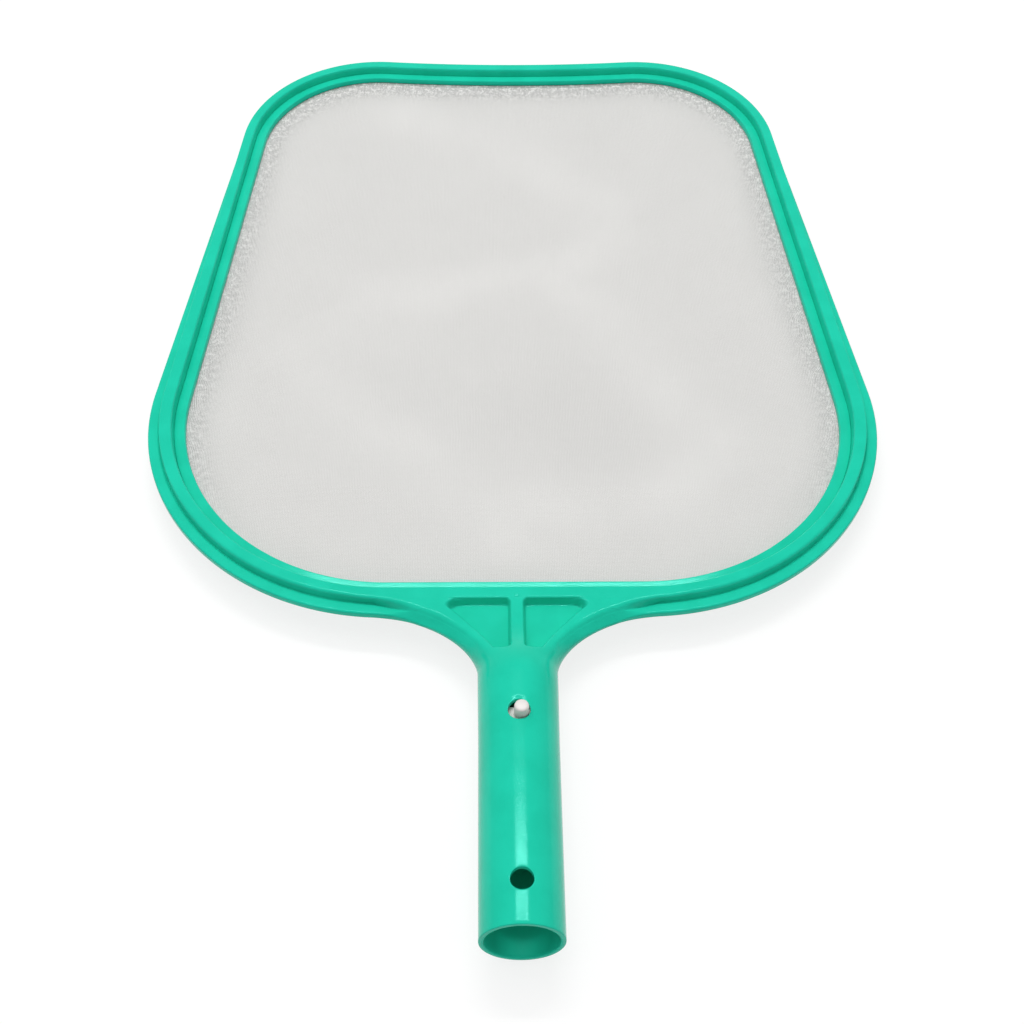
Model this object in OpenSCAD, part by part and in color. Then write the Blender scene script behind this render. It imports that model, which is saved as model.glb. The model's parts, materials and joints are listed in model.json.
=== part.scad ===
// Leaf skimmer net for a pool: a moulded hand net that clicks on to a pole.
// Millimetres. Origin at the centre of the socket's mouth, +Y towards the
// leading edge of the rim, +Z up out of the side that gathers the leaves.

/* [Pole socket] */
// Outside diameter of the socket, which slides into a pole
socket_od = 29; // [26:0.5:32]
// Wall of the socket
socket_wall = 1.8; // [1.4:0.1:2.2]
// Length of the socket from its mouth to the neck
socket_len = 96; // [94:1:120]
// Length of the truly round stretch that the pole guides on
guide_len = 74; // [60:1:74]
// How much the radius swells beyond the guide, as the mould's draft
socket_swell = 0.2; // [0.15:0.05:0.4]
// Rounding of the mouth's outer edge
mouth_round = 0.5; // [0.2:0.1:0.8]
// Thickness of the wall that closes the socket at the neck
socket_floor = 2.4; // [1.6:0.2:4]
// Diameter of each cross hole
hole_d = 8; // [7.4:0.1:8.6]
// Mouth to the axis of the lower pair of cross holes
lower_hole_y = 16; // [12:0.5:24]
// Mouth to the axis of the upper pair, which the snap buttons fill
upper_hole_y = 80; // [79.5:0.5:84]

/* [Neck] */
// Length from the end of the socket to the clear opening of the net
neck_len = 49.5; // [46:0.5:58]
// Straight stretch of the neck before it spreads
neck_straight = 7; // [4:0.5:9]
// How far each side of the neck spreads out along the rim
neck_spread = 40; // [34:1:46]
// Squareness of the neck's inward curve: 2 is a true ellipse
neck_curve = 1.8; // [1.6:0.1:2.2]
// Width of the bevel between the neck's ridge and its outer edge
neck_bevel = 4.3; // [3:0.1:5]
// Length over which the round section turns into the flat one
neck_blend = 30; // [28:1:34]
// Width of the rib between the two pockets
web_rib_w = 5; // [4:0.2:6]
// Length of each pocket, measured from the rim's rib
pocket_len = 25.6; // [20:0.2:27]
// Width of each pocket at the rim
pocket_far_w = 26.5; // [20:0.5:28]
// Width of each pocket at the socket end
pocket_near_w = 6; // [5:0.5:8]
// How far the outer side of each pocket curves in towards the rib
pocket_hollow = 2.5; // [0:0.1:3]
// Corner radius of the pockets
pocket_corner_r = 1.8; // [1:0.1:2.2]
// How far the walls of the pockets lean, as the mould's draft
pocket_draft = 0.6; // [0.3:0.1:1]
// Depth of the pockets below the top of the rim
pocket_depth = 4.4; // [3.6:0.1:4.8]
// Thickness of the web between the upper and the lower pockets
web_t = 2; // [1.6:0.1:2.4]

/* [Net opening] */
// Length of the clear opening
opening_len = 307; // [285:1:325]
// Width of the opening between its near corner lines
near_w = 288; // [270:1:300]
// Width of the opening between its far corner lines
far_w = 222; // [205:1:235]
// Corner radius at the socket end
near_r = 85; // [70:1:92]
// Corner radius at the leading edge
far_r = 53; // [42:1:60]
// How far the middle of the leading edge is drawn in by the taut net
edge_dip = 2.5; // [0.5:0.5:4]

/* [Rim section] */
// Width of the inner lip, which is the net ring
lip_w = 4.7; // [4:0.1:6]
// Thickness of the net ring
lip_t = 2.4; // [1.8:0.1:3]
// Play between the net ring and the rib that surrounds it
ring_play = 0.1; // [0.05:0.05:0.2]
// Width of the raised rib at the socket end
rib_near_w = 5.9; // [5:0.1:7]
// Width of the raised rib at the leading edge
rib_far_w = 4.7; // [4.4:0.1:6]
// Height of the rib above the lip at the socket end
rib_near_h = 4.1; // [3.4:0.1:4.8]
// Height of the rib above the lip at the leading edge
rib_far_h = 3.1; // [2.6:0.1:4]
// Rounding of the rib's two top edges
rib_round = 0.9; // [0.4:0.1:1.2]
// Width of the outer flange at the socket end
flange_near_w = 4.9; // [3:0.1:5.5]
// Width of the outer flange at the leading edge
flange_far_w = 0.5; // [0.3:0.1:2]
// Share of the opening's length over which the flange keeps its full width
flange_full = 0.2; // [0.1:0.05:0.4]
// Share of the opening's length at which the flange has faded
flange_faded = 0.85; // [0.6:0.05:0.95]
// Top of the outer flange above the top of the lip
flange_top = 0.7; // [0.3:0.1:1.2]
// Thickness of the outer flange
flange_t = 3.1; // [2.4:0.1:3.6]
// Rounding of the flange's outer edges
flange_round = 0.9; // [0.4:0.1:1.1]
// Thickness of the ledge under the net's hem
ledge_t = 1.6; // [1.2:0.1:2.4]
// How far the ledge stays back from the lip's inner edge
ledge_setback = 0.5; // [0.3:0.1:1]
// Width of the coring groove under the rib
groove_w = 1.9; // [1.4:0.1:2.2]
// Thickness of plastic left above the coring groove
groove_roof = 2; // [1.6:0.1:2.4]
// Diameter of the small gate mark on the rib
gate_d = 1.3; // [0.8:0.1:2]
// Height of the gate mark
gate_h = 0.3; // [0.2:0.05:0.5]

/* [Net] */
// Thickness of the woven net
net_t = 0.4; // [0.3:0.05:0.6]
// Depth to which the net sags at its middle
net_sag = 5; // [3:0.5:6]
// Height of the slack ripples
net_ripple = 0.3; // [0:0.1:0.6]
// Width of the hem held between the ring and the ledge
net_hem = 4; // [3:0.1:4.2]

/* [Snap clip] */
// Width of the clip's strip
clip_w = 9.5; // [8:0.5:10]
// Thickness of the strip
clip_t = 1.5; // [1.2:0.1:1.8]
// How far the clip sits off the middle of the socket
clip_shift = 0.8; // [0:0.1:0.9]
// Outside radius of the bow
bow_r = 6.5; // [5.5:0.25:7.5]
// Length of the clip from the bow to the buttons' axis
clip_len = 38; // [36:0.5:44]
// Play between the arms and the bore
arm_play = 0.35; // [0.3:0.05:0.6]
// Length of the flat stretch that carries the button
arm_flat = 8; // [6:0.5:10]
// Length of the strip beyond the button's axis
arm_tip = 3.1; // [2.9:0.1:4]
// Gap between the bow and the arms, where the strip flexes
flex_gap = 0.3; // [0.3:0.05:0.5]
// Diameter of each button
button_d = 5.2; // [4.6:0.1:5.4]
// How far each button stands out of the socket
button_out = 3.2; // [2.5:0.1:3.5]
// Rounding of the button's end
button_round = 0.9; // [0.4:0.1:1.4]
// How far the button's axis sits back towards the mouth from the hole's axis
button_back = 0.4; // [0.2:0.1:0.6]

/* [Hidden] */
$fn = 96;
frame_green = [0.15, 0.79, 0.67];
net_white = [0.88, 0.87, 0.86];
clip_white = [0.93, 0.92, 0.91];

// Heights
ledge_top = -lip_t - net_t;
rim_bottom = ledge_top - ledge_t;
flange_bottom = flange_top - flange_t;
flange_middle = flange_top - flange_t / 2;

// Places along Y
near_y = socket_len + neck_len;
far_y = near_y + opening_len;
rib_in = lip_w + ring_play;
rib_near_y = near_y - rib_in - rib_near_w;
flange_near_y = rib_near_y - flange_near_w;
socket_r = socket_od / 2;
neck_r = socket_r + socket_swell;
bore_r = socket_r - socket_wall;
spread_y = socket_len + neck_straight;
neck_half = neck_r + neck_spread;

function smooth(u) = let (c = min(max(u, 0), 1)) c * c * (3 - 2 * c);
function mix(a, b, t) = a + (b - a) * t;

// ---- Outline of the opening -----------------------------------------------
// The opening is a trapezoid with round corners, symmetrical about the Y axis.
// Its sides lean inwards by this angle, and its leading edge is a shallow arc
// that bends in between the two far corners.
lean = atan2((near_w - far_w) / 2, opening_len);
outward = [cos(lean), sin(lean)];
reach = outward * [near_w / 2, near_y];
function corner_centre(y, r) = [(reach - r - y * sin(lean)) / cos(lean), y];
near_centre = corner_centre(near_y + near_r, near_r);
far_centre = corner_centre(far_y - far_r, far_r);

dip_span = (pow(far_centre[0], 2) + pow(edge_dip, 2)) / (2 * edge_dip);
dip_turn = asin(far_centre[0] / dip_span);
dip_centre = [0, far_centre[1] + dip_span * cos(dip_turn)];

near_steps = 14;
far_steps = 12;
dip_steps = 8;

// Stations round the outline, each an arc's centre, its radius and the
// direction that points outwards there. The radius of an arc that bends in is
// negative, because its centre lies outside.
right_stations = concat(
    [for (i = [0:near_steps]) [near_centre, near_r, -90 + i * (90 + lean) / near_steps]],
    [for (i = [0:far_steps]) [far_centre, far_r, lean + i * (90 + dip_turn - lean) / far_steps]]);
dip_stations = [for (i = [1:dip_steps - 1])
    [dip_centre, far_r - dip_span, 90 + dip_turn * (1 - 2 * i / dip_steps)]];
stations = concat(right_stations, dip_stations, [for (i = [len(right_stations) - 1:-1:0])
    let (s = right_stations[i]) [[-s[0][0], s[0][1]], s[1], 180 - s[2]]]);

// The point of a station that lies s outwards from the outline.
function place(station, s) =
    station[0] + (station[1] + s) * [cos(station[2]), sin(station[2])];
// How far along the opening a station lies, from 0 at the near line to 1.
function along(station) = (place(station, 0)[1] - near_y) / opening_len;

// Splits four-cornered faces into triangles.
function triangles(quads) = [for (q = quads) for (t = [[q[0], q[1], q[2]], [q[0], q[2], q[3]]]) t];

// A closed ring of sections round the outline. Each section is a list of
// [outwards, up] points with as many points as the others, going clockwise.
module ring(sections) {
    n = len(sections[0]);
    m = len(sections);
    points = [for (k = [0:m - 1]) for (p = sections[k]) let (at = place(stations[k], p[0]))
        [at[0], at[1], p[1]]];
    polyhedron(points, triangles([for (k = [0:m - 1]) for (i = [0:n - 1])
        let (a = k * n + i, b = k * n + (i + 1) % n, next = ((k + 1) % m - k) * n)
        [a, a + next, b + next, b]]));
}

// Points of a quarter-round corner: centre, radius, the angle it starts at
// and the number of facets.
function corner(c, r, from, facets = 3) =
    [for (i = [0:facets]) let (a = from - 90 * i / facets) c + r * [cos(a), sin(a)]];

// ---- Rim ------------------------------------------------------------------
// The rib's outer top edge is square where the neck's plate runs on from it.
square_round = 0.15;
function rib_outer_round(station) =
    abs(place(station, 0)[0]) < neck_half && along(station) < 0.5 ? square_round : rib_round;

function rim_section(q, outer_round) =
    let (w = mix(rib_near_w, rib_far_w, q), h = mix(rib_near_h, rib_far_h, q),
         out = rib_in + w, wall = (w - groove_w) / 2, roof = h - groove_roof,
         fade = smooth((q - flange_full) / (flange_faded - flange_full)),
         edge = out + mix(flange_near_w, flange_far_w, fade),
         r = min(flange_round, 0.8 * (edge - out)))
    concat(
        [[ledge_setback, rim_bottom], [ledge_setback, ledge_top], [rib_in, ledge_top]],
        corner([rib_in + rib_round, h - rib_round], rib_round, 180),
        corner([out - outer_round, h - outer_round], outer_round, 90),
        [[out, flange_top]],
        corner([edge - r, flange_top - r], r, 90, 2),
        corner([edge - r, flange_bottom + r], r, 0, 2),
        [[out, flange_bottom], [out, rim_bottom], [out - wall, rim_bottom],
         [out - wall, roof], [rib_in + wall, roof], [rib_in + wall, rim_bottom]]);

module frame_rim() {
    color(frame_green) {
        difference() {
            ring([for (s = stations) rim_section(along(s), rib_outer_round(s))]);
            // The neck takes the flange's place over its whole spread.
            translate([-neck_half, flange_near_y - 1, flange_bottom - 1])
                cube([2 * neck_half, flange_near_w + 1, flange_t + 2]);
        }
        translate([0, rib_near_y + gate_d, rib_near_h - gate_h])
            cylinder(2 * gate_h, d = gate_d);
    }
}

// ---- Net ring -------------------------------------------------------------
module net_ring() {
    edge = lip_t / 4;
    color(frame_green) ring([for (s = stations) concat(
        [[0, -lip_t]], corner([edge, -edge], edge, 180), [[lip_w, 0], [lip_w, -lip_t]])]);
}

// ---- Net ------------------------------------------------------------------
net_rings = [1, 0.94, 0.84, 0.7, 0.52, 0.34, 0.16];
net_middle = [0, (near_y + far_y) / 2];

// Depth of the net at a share q of the way from its middle to its edge.
function net_depth(q, turn) =
    net_sag * (1 - q * q) + net_ripple * sin(180 * q) * sin(6 * turn);

// One face of the net: the hem's edge, then loops that close in on the middle.
function net_face(top) = concat(
    [for (s = stations) let (p = place(s, net_hem)) [p[0], p[1], top]],
    [for (q = net_rings) for (i = [0:len(stations) - 1])
        let (p = mix(net_middle, place(stations[i], 0), q))
        [p[0], p[1], top - net_depth(q, 360 * i / len(stations))]],
    [[net_middle[0], net_middle[1], top - net_depth(0, 0)]]);

module net() {
    upper = net_face(-lip_t);
    n = len(stations);
    loops = len(net_rings);
    m = len(upper);
    bands = [for (k = [0:loops - 1]) for (i = [0:n - 1])
        let (a = k * n + i, b = k * n + (i + 1) % n) [a, b, b + n, a + n]];
    fan = [for (i = [0:n - 1]) [loops * n + i, loops * n + (i + 1) % n, m - 1]];
    sheet = concat(triangles(bands), fan);
    edge = triangles([for (i = [0:n - 1]) let (j = (i + 1) % n) [i, j, j + m, i + m]]);
    color(net_white) polyhedron(concat(upper, net_face(-lip_t - net_t)), concat(
        [for (t = sheet) [t[2], t[1], t[0]]],
        [for (t = sheet) [t[0] + m, t[1] + m, t[2] + m]],
        edge));
}

// ---- Neck -----------------------------------------------------------------
// The neck is one loft. Its rows run across it from the socket to the rim, and
// its columns follow the central rib, the pockets' sides, the ridge and the
// outer edge, so that each of these is a clean line.
edge_half_t = flange_t / 2 - flange_round;

// Half width of the neck at y, and the y at which its edge reaches x.
function neck_width(y) = let (u = min(max((y - spread_y) / (flange_near_y - spread_y), 0), 1))
    neck_r + neck_spread * (1 - pow(1 - pow(u, neck_curve), 1 / neck_curve));
function neck_edge(x) = let (u = min(max((abs(x) - neck_r) / neck_spread, 0), 1))
    spread_y + (flange_near_y - spread_y) * pow(1 - pow(1 - u, neck_curve), 1 / neck_curve);

// Distance in from the neck's edge, and the x at which a row is that far in.
far_off = 1000;
function inset(x, y) =
    let (gx = y < flange_near_y ? max(neck_width(y) - x, 0) : far_off,
         gy = x > neck_r ? max(y - neck_edge(x), 0) : far_off)
    gx * gy / max(norm([gx, gy]), 0.001);
function inset_x(y, depth, low, high, tries = 16) =
    let (x = (low + high) / 2)
    tries == 0 ? x :
    inset(x, y) > depth ? inset_x(y, depth, x, high, tries - 1) : inset_x(y, depth, low, x, tries - 1);

// Height of the flat end of the neck: a bevelled plate that turns into the
// outer flange at both ends of the spread.
bevel_curve = 0.8;
flange_from = 0.7;
function quarter_round(d, r) = let (u = min(d / r, 1)) sqrt(1 - (1 - u) * (1 - u));
function plate_height(x, y, ridge, flange) =
    let (d = inset(x, y), m = smooth((x / neck_half - flange_from) / (1 - flange_from)),
         bevel = pow(min(d / neck_bevel, 1), bevel_curve) * (ridge - edge_half_t) + edge_half_t,
         step = quarter_round(d, flange_round) * (flange - edge_half_t) + edge_half_t)
    bevel * (1 - m) + step * m;
function flatness(y) = smooth((y - socket_len) / neck_blend);
function neck_height(x, y, ridge, flange) =
    let (w = neck_width(y), tube = neck_r * sqrt(max(1 - x * x / (w * w), 0)))
    mix(tube, plate_height(x, y, ridge, flange), flatness(y));
function neck_top(x, y) =
    flange_middle * flatness(y) + neck_height(x, y, rib_near_h - flange_middle, flange_t / 2);
function neck_bottom(x, y) =
    flange_middle * flatness(y) - neck_height(x, y, flange_middle - rim_bottom, flange_t / 2);

// Each pocket runs from this y to the rim, between the central rib and a side
// that curves in. Its corners are rounded by narrowing it towards both ends.
pocket_y = rib_near_y - pocket_len;
pocket_floor = rib_near_h - pocket_depth;
function pocket_side(y) =
    let (u = min(max((y - pocket_y) / pocket_len, 0), 1))
    web_rib_w / 2 + mix(pocket_near_w, pocket_far_w, u) - 4 * pocket_hollow * u * (1 - u);
function corner_cut(y) =
    let (from_end = min(max(min(y - pocket_y, rib_near_y - y), 0), pocket_corner_r))
    pocket_corner_r - sqrt(pow(pocket_corner_r, 2) - pow(pocket_corner_r - from_end, 2));
function in_pocket(y) = y > pocket_y + pocket_draft / 2;

pocket_columns = 3;
plate_columns = 2;
bevel_columns = 7;

// One row of the neck from its middle to its edge, as [x, depth of the floor
// that the column lies on, from 0 outside the pocket to 1 in it].
function half_row(y) =
    let (cut = corner_cut(y), inner = web_rib_w / 2 + cut, outer = pocket_side(y) - cut,
         low = inner + pocket_draft, high = outer - pocket_draft,
         edge = neck_width(y), ridge = inset_x(y, neck_bevel, 0, edge))
    concat(
        [[0, 0], [inner, 0]],
        [for (i = [0:pocket_columns]) [mix(low, high, i / pocket_columns), 1]],
        [for (i = [0:plate_columns]) [mix(outer, ridge, i / plate_columns), 0]],
        [for (i = [bevel_columns - 1:-1:0]) [mix(edge, ridge, pow(i / bevel_columns, 2)), 0]]);
function full_row(y) = let (half = half_row(y)) concat(
    [for (i = [len(half) - 1:-1:1]) [-half[i][0], half[i][1]]], half);

// Rows: the round end, the start of the pockets, the spread and the strip
// beside the rim's rib.
corner_rows = 4;
spread_rows = 15;
strip_rows = 6;
pocket_rows = [for (i = [1:corner_rows])
    pocket_y + pocket_draft + pocket_corner_r * (1 - cos(90 * i / corner_rows))];
spread_len = flange_near_y - spread_y;
spread_turn = asin((pocket_rows[corner_rows - 1] - spread_y) / spread_len);
neck_rows = concat(
    [socket_len, mix(socket_len, spread_y, 0.5)],
    [for (i = [0:3]) mix(spread_y, pocket_y, i / 4)],
    [pocket_y, pocket_y + pocket_draft],
    pocket_rows,
    [for (i = [1:spread_rows]) spread_y + spread_len * sin(mix(spread_turn, 90, i / spread_rows))],
    [for (i = [1:strip_rows]) mix(flange_near_y, rib_near_y, sin(90 * i / strip_rows))]);

module neck_gusset() {
    grid = [for (y = neck_rows) [for (p = full_row(y)) [p[0], y, p[1] * (in_pocket(y) ? 1 : 0)]]];
    n = len(grid[0]);
    rows = len(grid);
    m = n * rows;
    points = concat(
        [for (row = grid) for (p = row) let (x = abs(p[0]), top = neck_top(x, p[1]))
            [p[0], p[1], mix(top, pocket_floor, p[2])]],
        [for (row = grid) for (p = row) let (x = abs(p[0]), bottom = neck_bottom(x, p[1]))
            [p[0], p[1], mix(bottom, pocket_floor - web_t, p[2])]]);
    cells = [for (j = [0:rows - 2]) for (i = [0:n - 2]) let (a = j * n + i) [a, a + 1, a + n + 1, a + n]];
    border = concat(
        [for (i = [0:n - 2]) [i, i + 1]],
        [for (j = [0:rows - 2]) [j * n + n - 1, (j + 1) * n + n - 1]],
        [for (i = [n - 1:-1:1]) [(rows - 1) * n + i, (rows - 1) * n + i - 1]],
        [for (j = [rows - 1:-1:1]) [j * n, (j - 1) * n]]);
    quads = concat(
        [for (c = cells) [c[3], c[2], c[1], c[0]]],
        [for (c = cells) [for (v = c) v + m]],
        [for (b = border) [b[0], b[1], b[1] + m, b[0] + m]]);
    color(frame_green) polyhedron(points, triangles(quads));
}

// ---- Pole socket ----------------------------------------------------------
module pole_socket() {
    color(frame_green) difference() {
        rotate([-90, 0, 0]) rotate_extrude() polygon(concat(
            [[bore_r, 0]],
            [for (p = corner([socket_r - mouth_round, -mouth_round], mouth_round, 90)) [p[0], -p[1]]],
            [[socket_r, guide_len], [neck_r, socket_len], [0, socket_len],
             [0, socket_len - socket_floor], [bore_r, socket_len - socket_floor]]));
        for (y = [lower_hole_y, upper_hole_y])
            translate([0, y, -socket_od]) cylinder(2 * socket_od, d = hole_d);
    }
}

// ---- Snap clip ------------------------------------------------------------
button_y = upper_hole_y - button_back;
bow_y = button_y - clip_len;
hinge_y = bow_y + bow_r + clip_t + flex_gap + clip_t / 2;
hinge_z = bow_r - clip_t / 2;
clip_edge_x = clip_shift + clip_w / 2;
arm_top = sqrt(pow(bore_r - arm_play, 2) - clip_edge_x * clip_edge_x);

// Extrudes a side view, drawn as [y, z], across the width of the strip.
module across_clip() {
    translate([clip_shift - clip_w / 2, 0, 0])
        rotate([90, 0, 90]) linear_extrude(clip_w) children();
}

module clip_bow() {
    color(clip_white) across_clip() {
        translate([bow_y + bow_r, 0]) difference() {
            circle(bow_r);
            circle(bow_r - clip_t);
            translate([0, -2 * bow_r]) square([2 * bow_r, 4 * bow_r]);
        }
        for (z = [-bow_r, bow_r - clip_t]) translate([bow_y + bow_r, z]) square([clip_t, clip_t]);
    }
}

module clip_arm() {
    bend_y = button_y - arm_flat;
    slope = atan2(arm_top - clip_t / 2 - hinge_z, bend_y - hinge_y);
    across_clip() polygon(concat(
        [for (a = [slope + 270:-30:slope + 90]) [hinge_y, hinge_z] + clip_t / 2 * [cos(a), sin(a)]],
        [[bend_y, arm_top], [button_y + arm_tip, arm_top],
         [button_y + arm_tip, arm_top - clip_t], [bend_y, arm_top - clip_t]]));
    stem = socket_r + button_out - arm_top + clip_t / 2;
    r = button_d / 2;
    translate([clip_shift, button_y, arm_top - clip_t / 2])
        rotate_extrude() polygon(concat(
            [[0, 0], [0, stem]],
            corner([r - button_round, stem - button_round], button_round, 90),
            [[r, 0]]));
}

module clip_upper_arm() {
    color(clip_white) clip_arm();
}

module clip_lower_arm() {
    color(clip_white) mirror([0, 0, 1]) clip_arm();
}

frame_rim();
neck_gusset();
pole_socket();
net_ring();
net();
clip_bow();
clip_upper_arm();
clip_lower_arm();
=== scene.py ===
"""Looks of a leaf skimmer net: a moulded rim with its neck and pole socket, a
woven net held by an inner ring, and a sprung clip with two buttons.

All lengths are metres. The origin is the centre of the socket's mouth, +Y runs
to the rim's leading edge and +Z up out of the side that gathers the leaves.
"""

import json
import logging
import math
from bisect import bisect
from contextlib import contextmanager
from dataclasses import dataclass
from enum import Enum
from typing import Callable, Iterator, Optional, Union

import bmesh
import bpy
from mathutils import Matrix, Vector, noise

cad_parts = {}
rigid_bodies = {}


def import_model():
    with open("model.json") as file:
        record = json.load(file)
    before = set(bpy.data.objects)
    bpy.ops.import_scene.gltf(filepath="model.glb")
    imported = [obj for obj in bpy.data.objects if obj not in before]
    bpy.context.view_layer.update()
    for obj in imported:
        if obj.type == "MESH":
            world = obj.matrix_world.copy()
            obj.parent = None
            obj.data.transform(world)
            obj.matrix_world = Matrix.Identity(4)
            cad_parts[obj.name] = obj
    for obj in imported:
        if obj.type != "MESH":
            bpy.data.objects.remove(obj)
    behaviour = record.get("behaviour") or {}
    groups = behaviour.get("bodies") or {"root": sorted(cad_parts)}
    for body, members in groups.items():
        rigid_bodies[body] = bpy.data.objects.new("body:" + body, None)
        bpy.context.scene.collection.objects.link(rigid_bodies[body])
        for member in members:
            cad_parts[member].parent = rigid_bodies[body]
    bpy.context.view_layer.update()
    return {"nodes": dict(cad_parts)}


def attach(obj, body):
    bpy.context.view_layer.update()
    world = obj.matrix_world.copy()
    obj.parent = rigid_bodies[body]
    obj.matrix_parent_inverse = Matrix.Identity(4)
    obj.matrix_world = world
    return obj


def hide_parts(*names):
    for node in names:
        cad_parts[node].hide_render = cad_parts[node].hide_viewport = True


log = logging.getLogger("skimmer")
MM = 0.001
MERGE = 0.004 * MM
TINY = 1e-6
Pair = tuple[float, float]
Triple = tuple[float, float, float]
Colour = Triple
Piece = bpy.types.Object


class Body(Enum):
    """The bodies that the pieces ride on."""

    FRAME = "frame"
    UPPER_ARM = "upper_arm"
    LOWER_ARM = "lower_arm"


class Slot(Enum):
    """The material slots of the part."""

    FRAME = "frame_plastic"
    NET = "net_fabric"
    CLIP = "clip_plastic"


# ---- Shader maths ----


def operator(operation: str, swapped: bool = False) -> Callable[..., "Expr"]:
    """Makes a method of Expr that adds a Math node.

    Args:
        operation: The node's operation.
        swapped: Whether the method's own socket comes last.

    Returns:
        The method, which takes the operation's other values.
    """

    def method(self: "Expr", *others: "Value") -> "Expr":
        """Adds the node and gives its result."""
        values = (*others, self) if swapped else (self, *others)
        return self.shader.node("ShaderNodeMath", {"operation": operation}, dict(enumerate(values)))

    return method


class Expr:
    """A socket of a node tree that takes part in Python arithmetic."""

    __add__, __radd__ = operator("ADD"), operator("ADD", True)
    __sub__, __rsub__ = operator("SUBTRACT"), operator("SUBTRACT", True)
    __mul__, __rmul__ = operator("MULTIPLY"), operator("MULTIPLY", True)
    __truediv__, __rtruediv__ = operator("DIVIDE"), operator("DIVIDE", True)
    __abs__ = operator("ABSOLUTE")
    fraction, whole, root = operator("FRACT"), operator("FLOOR"), operator("SQRT")
    highest, lowest, modulo = operator("MAXIMUM"), operator("MINIMUM"), operator("FLOORED_MODULO")

    def __init__(self, shader: "Shader", socket: Optional[bpy.types.NodeSocket]) -> None:
        """Wraps a socket of a shader's tree."""
        self.shader, self.socket = shader, socket

    def ramp(
        self, low: "Value", high: "Value", to_low: "Value" = 0.0, to_high: "Value" = 1.0
    ) -> "Expr":
        """Maps the range from low to high to the other range, with soft ends."""
        inputs = {"Value": self, 1: low, 2: high, 3: to_low, 4: to_high}
        return self.shader.node("ShaderNodeMapRange", {"interpolation_type": "SMOOTHSTEP"}, inputs)


Value = Union[Expr, int, float, tuple[float, ...]]
Owner = Union[bpy.types.Material, bpy.types.World]


class Shader:
    """A tree of nodes that makes a material or the world."""

    def __init__(self, owner: Owner) -> None:
        """Starts an empty tree.

        Args:
            owner: The material or the world that gets it.
        """
        self.owner = owner
        owner.use_nodes = True
        self.tree = owner.node_tree
        self.tree.nodes.clear()

    def node(
        self,
        kind: str,
        settings: Optional[dict[str, object]] = None,
        inputs: Optional[dict[Union[str, int], Value]] = None,
        output: Union[str, int] = 0,
    ) -> Expr:
        """Adds a node.

        Args:
            kind: The node's type.
            settings: Its settings, which are set first.
            inputs: A value or an expression for each of its sockets. A colour
                may leave out its fourth number.
            output: The socket that is given back.

        Returns:
            One of the node's results.
        """
        made = self.tree.nodes.new(kind)
        for name, value in (settings or {}).items():
            setattr(made, name, value)
        for name, value in (inputs or {}).items():
            socket = made.inputs[name]
            if isinstance(value, Expr):
                self.tree.links.new(value.socket, socket)
            else:
                short = socket.type == "RGBA" and len(value) == 3
                socket.default_value = (*value, 1) if short else value
        return Expr(self, made.outputs[output] if made.outputs else None)

    def place(self) -> Expr:
        """Gives the object coordinates."""
        return self.node("ShaderNodeTexCoord", output="Object")

    def split(self, vector: Expr) -> tuple[Expr, Expr, Expr]:
        """Gives the three parts of a vector."""
        first = self.node("ShaderNodeSeparateXYZ", None, {0: vector})
        return tuple(Expr(self, part) for part in first.socket.node.outputs)

    def noise(
        self, where: Expr, size: float, detail: float = 2.0, stretch: Triple = (1, 1, 1)
    ) -> Expr:
        """Adds a noise.

        Args:
            where: The coordinates that it follows.
            size: The size of its spots.
            detail: How many finer layers it has.
            stretch: How much the coordinates are scaled first.

        Returns:
            The noise, from 0 to 1.
        """
        at = self.node("ShaderNodeMapping", None, {"Vector": where, "Scale": stretch})
        inputs = {"Vector": at, "Scale": 1 / size, "Detail": detail}
        return self.node("ShaderNodeTexNoise", None, inputs)

    def blend(self, share: Value, first: Value, second: Value) -> Expr:
        """Mixes two colours, where share is how much of the second one there is."""
        return self.node("ShaderNodeMix", {"data_type": "RGBA"}, {0: share, 6: first, 7: second}, 2)

    def bump(self, height: Expr, distance: float, strength: float = 1.0) -> Expr:
        """Gives a normal that is tilted by a height, which is distance at 1."""
        inputs = {"Height": height, "Distance": distance, "Strength": strength}
        return self.node("ShaderNodeBump", None, inputs)

    def surface(self, **sockets: Value) -> Owner:
        """Ends the tree in a Principled shader, whose sockets have underscores for spaces."""
        inputs = {name.replace("_", " "): value for name, value in sockets.items()}
        return self.end(self.node("ShaderNodeBsdfPrincipled", None, inputs))

    def end(self, surface: Expr, output: str = "ShaderNodeOutputMaterial") -> Owner:
        """Links a surface to the output node and gives the tree's owner."""
        self.node(output, None, {"Surface": surface})
        return self.owner


# ---- Finishes ----


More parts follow.
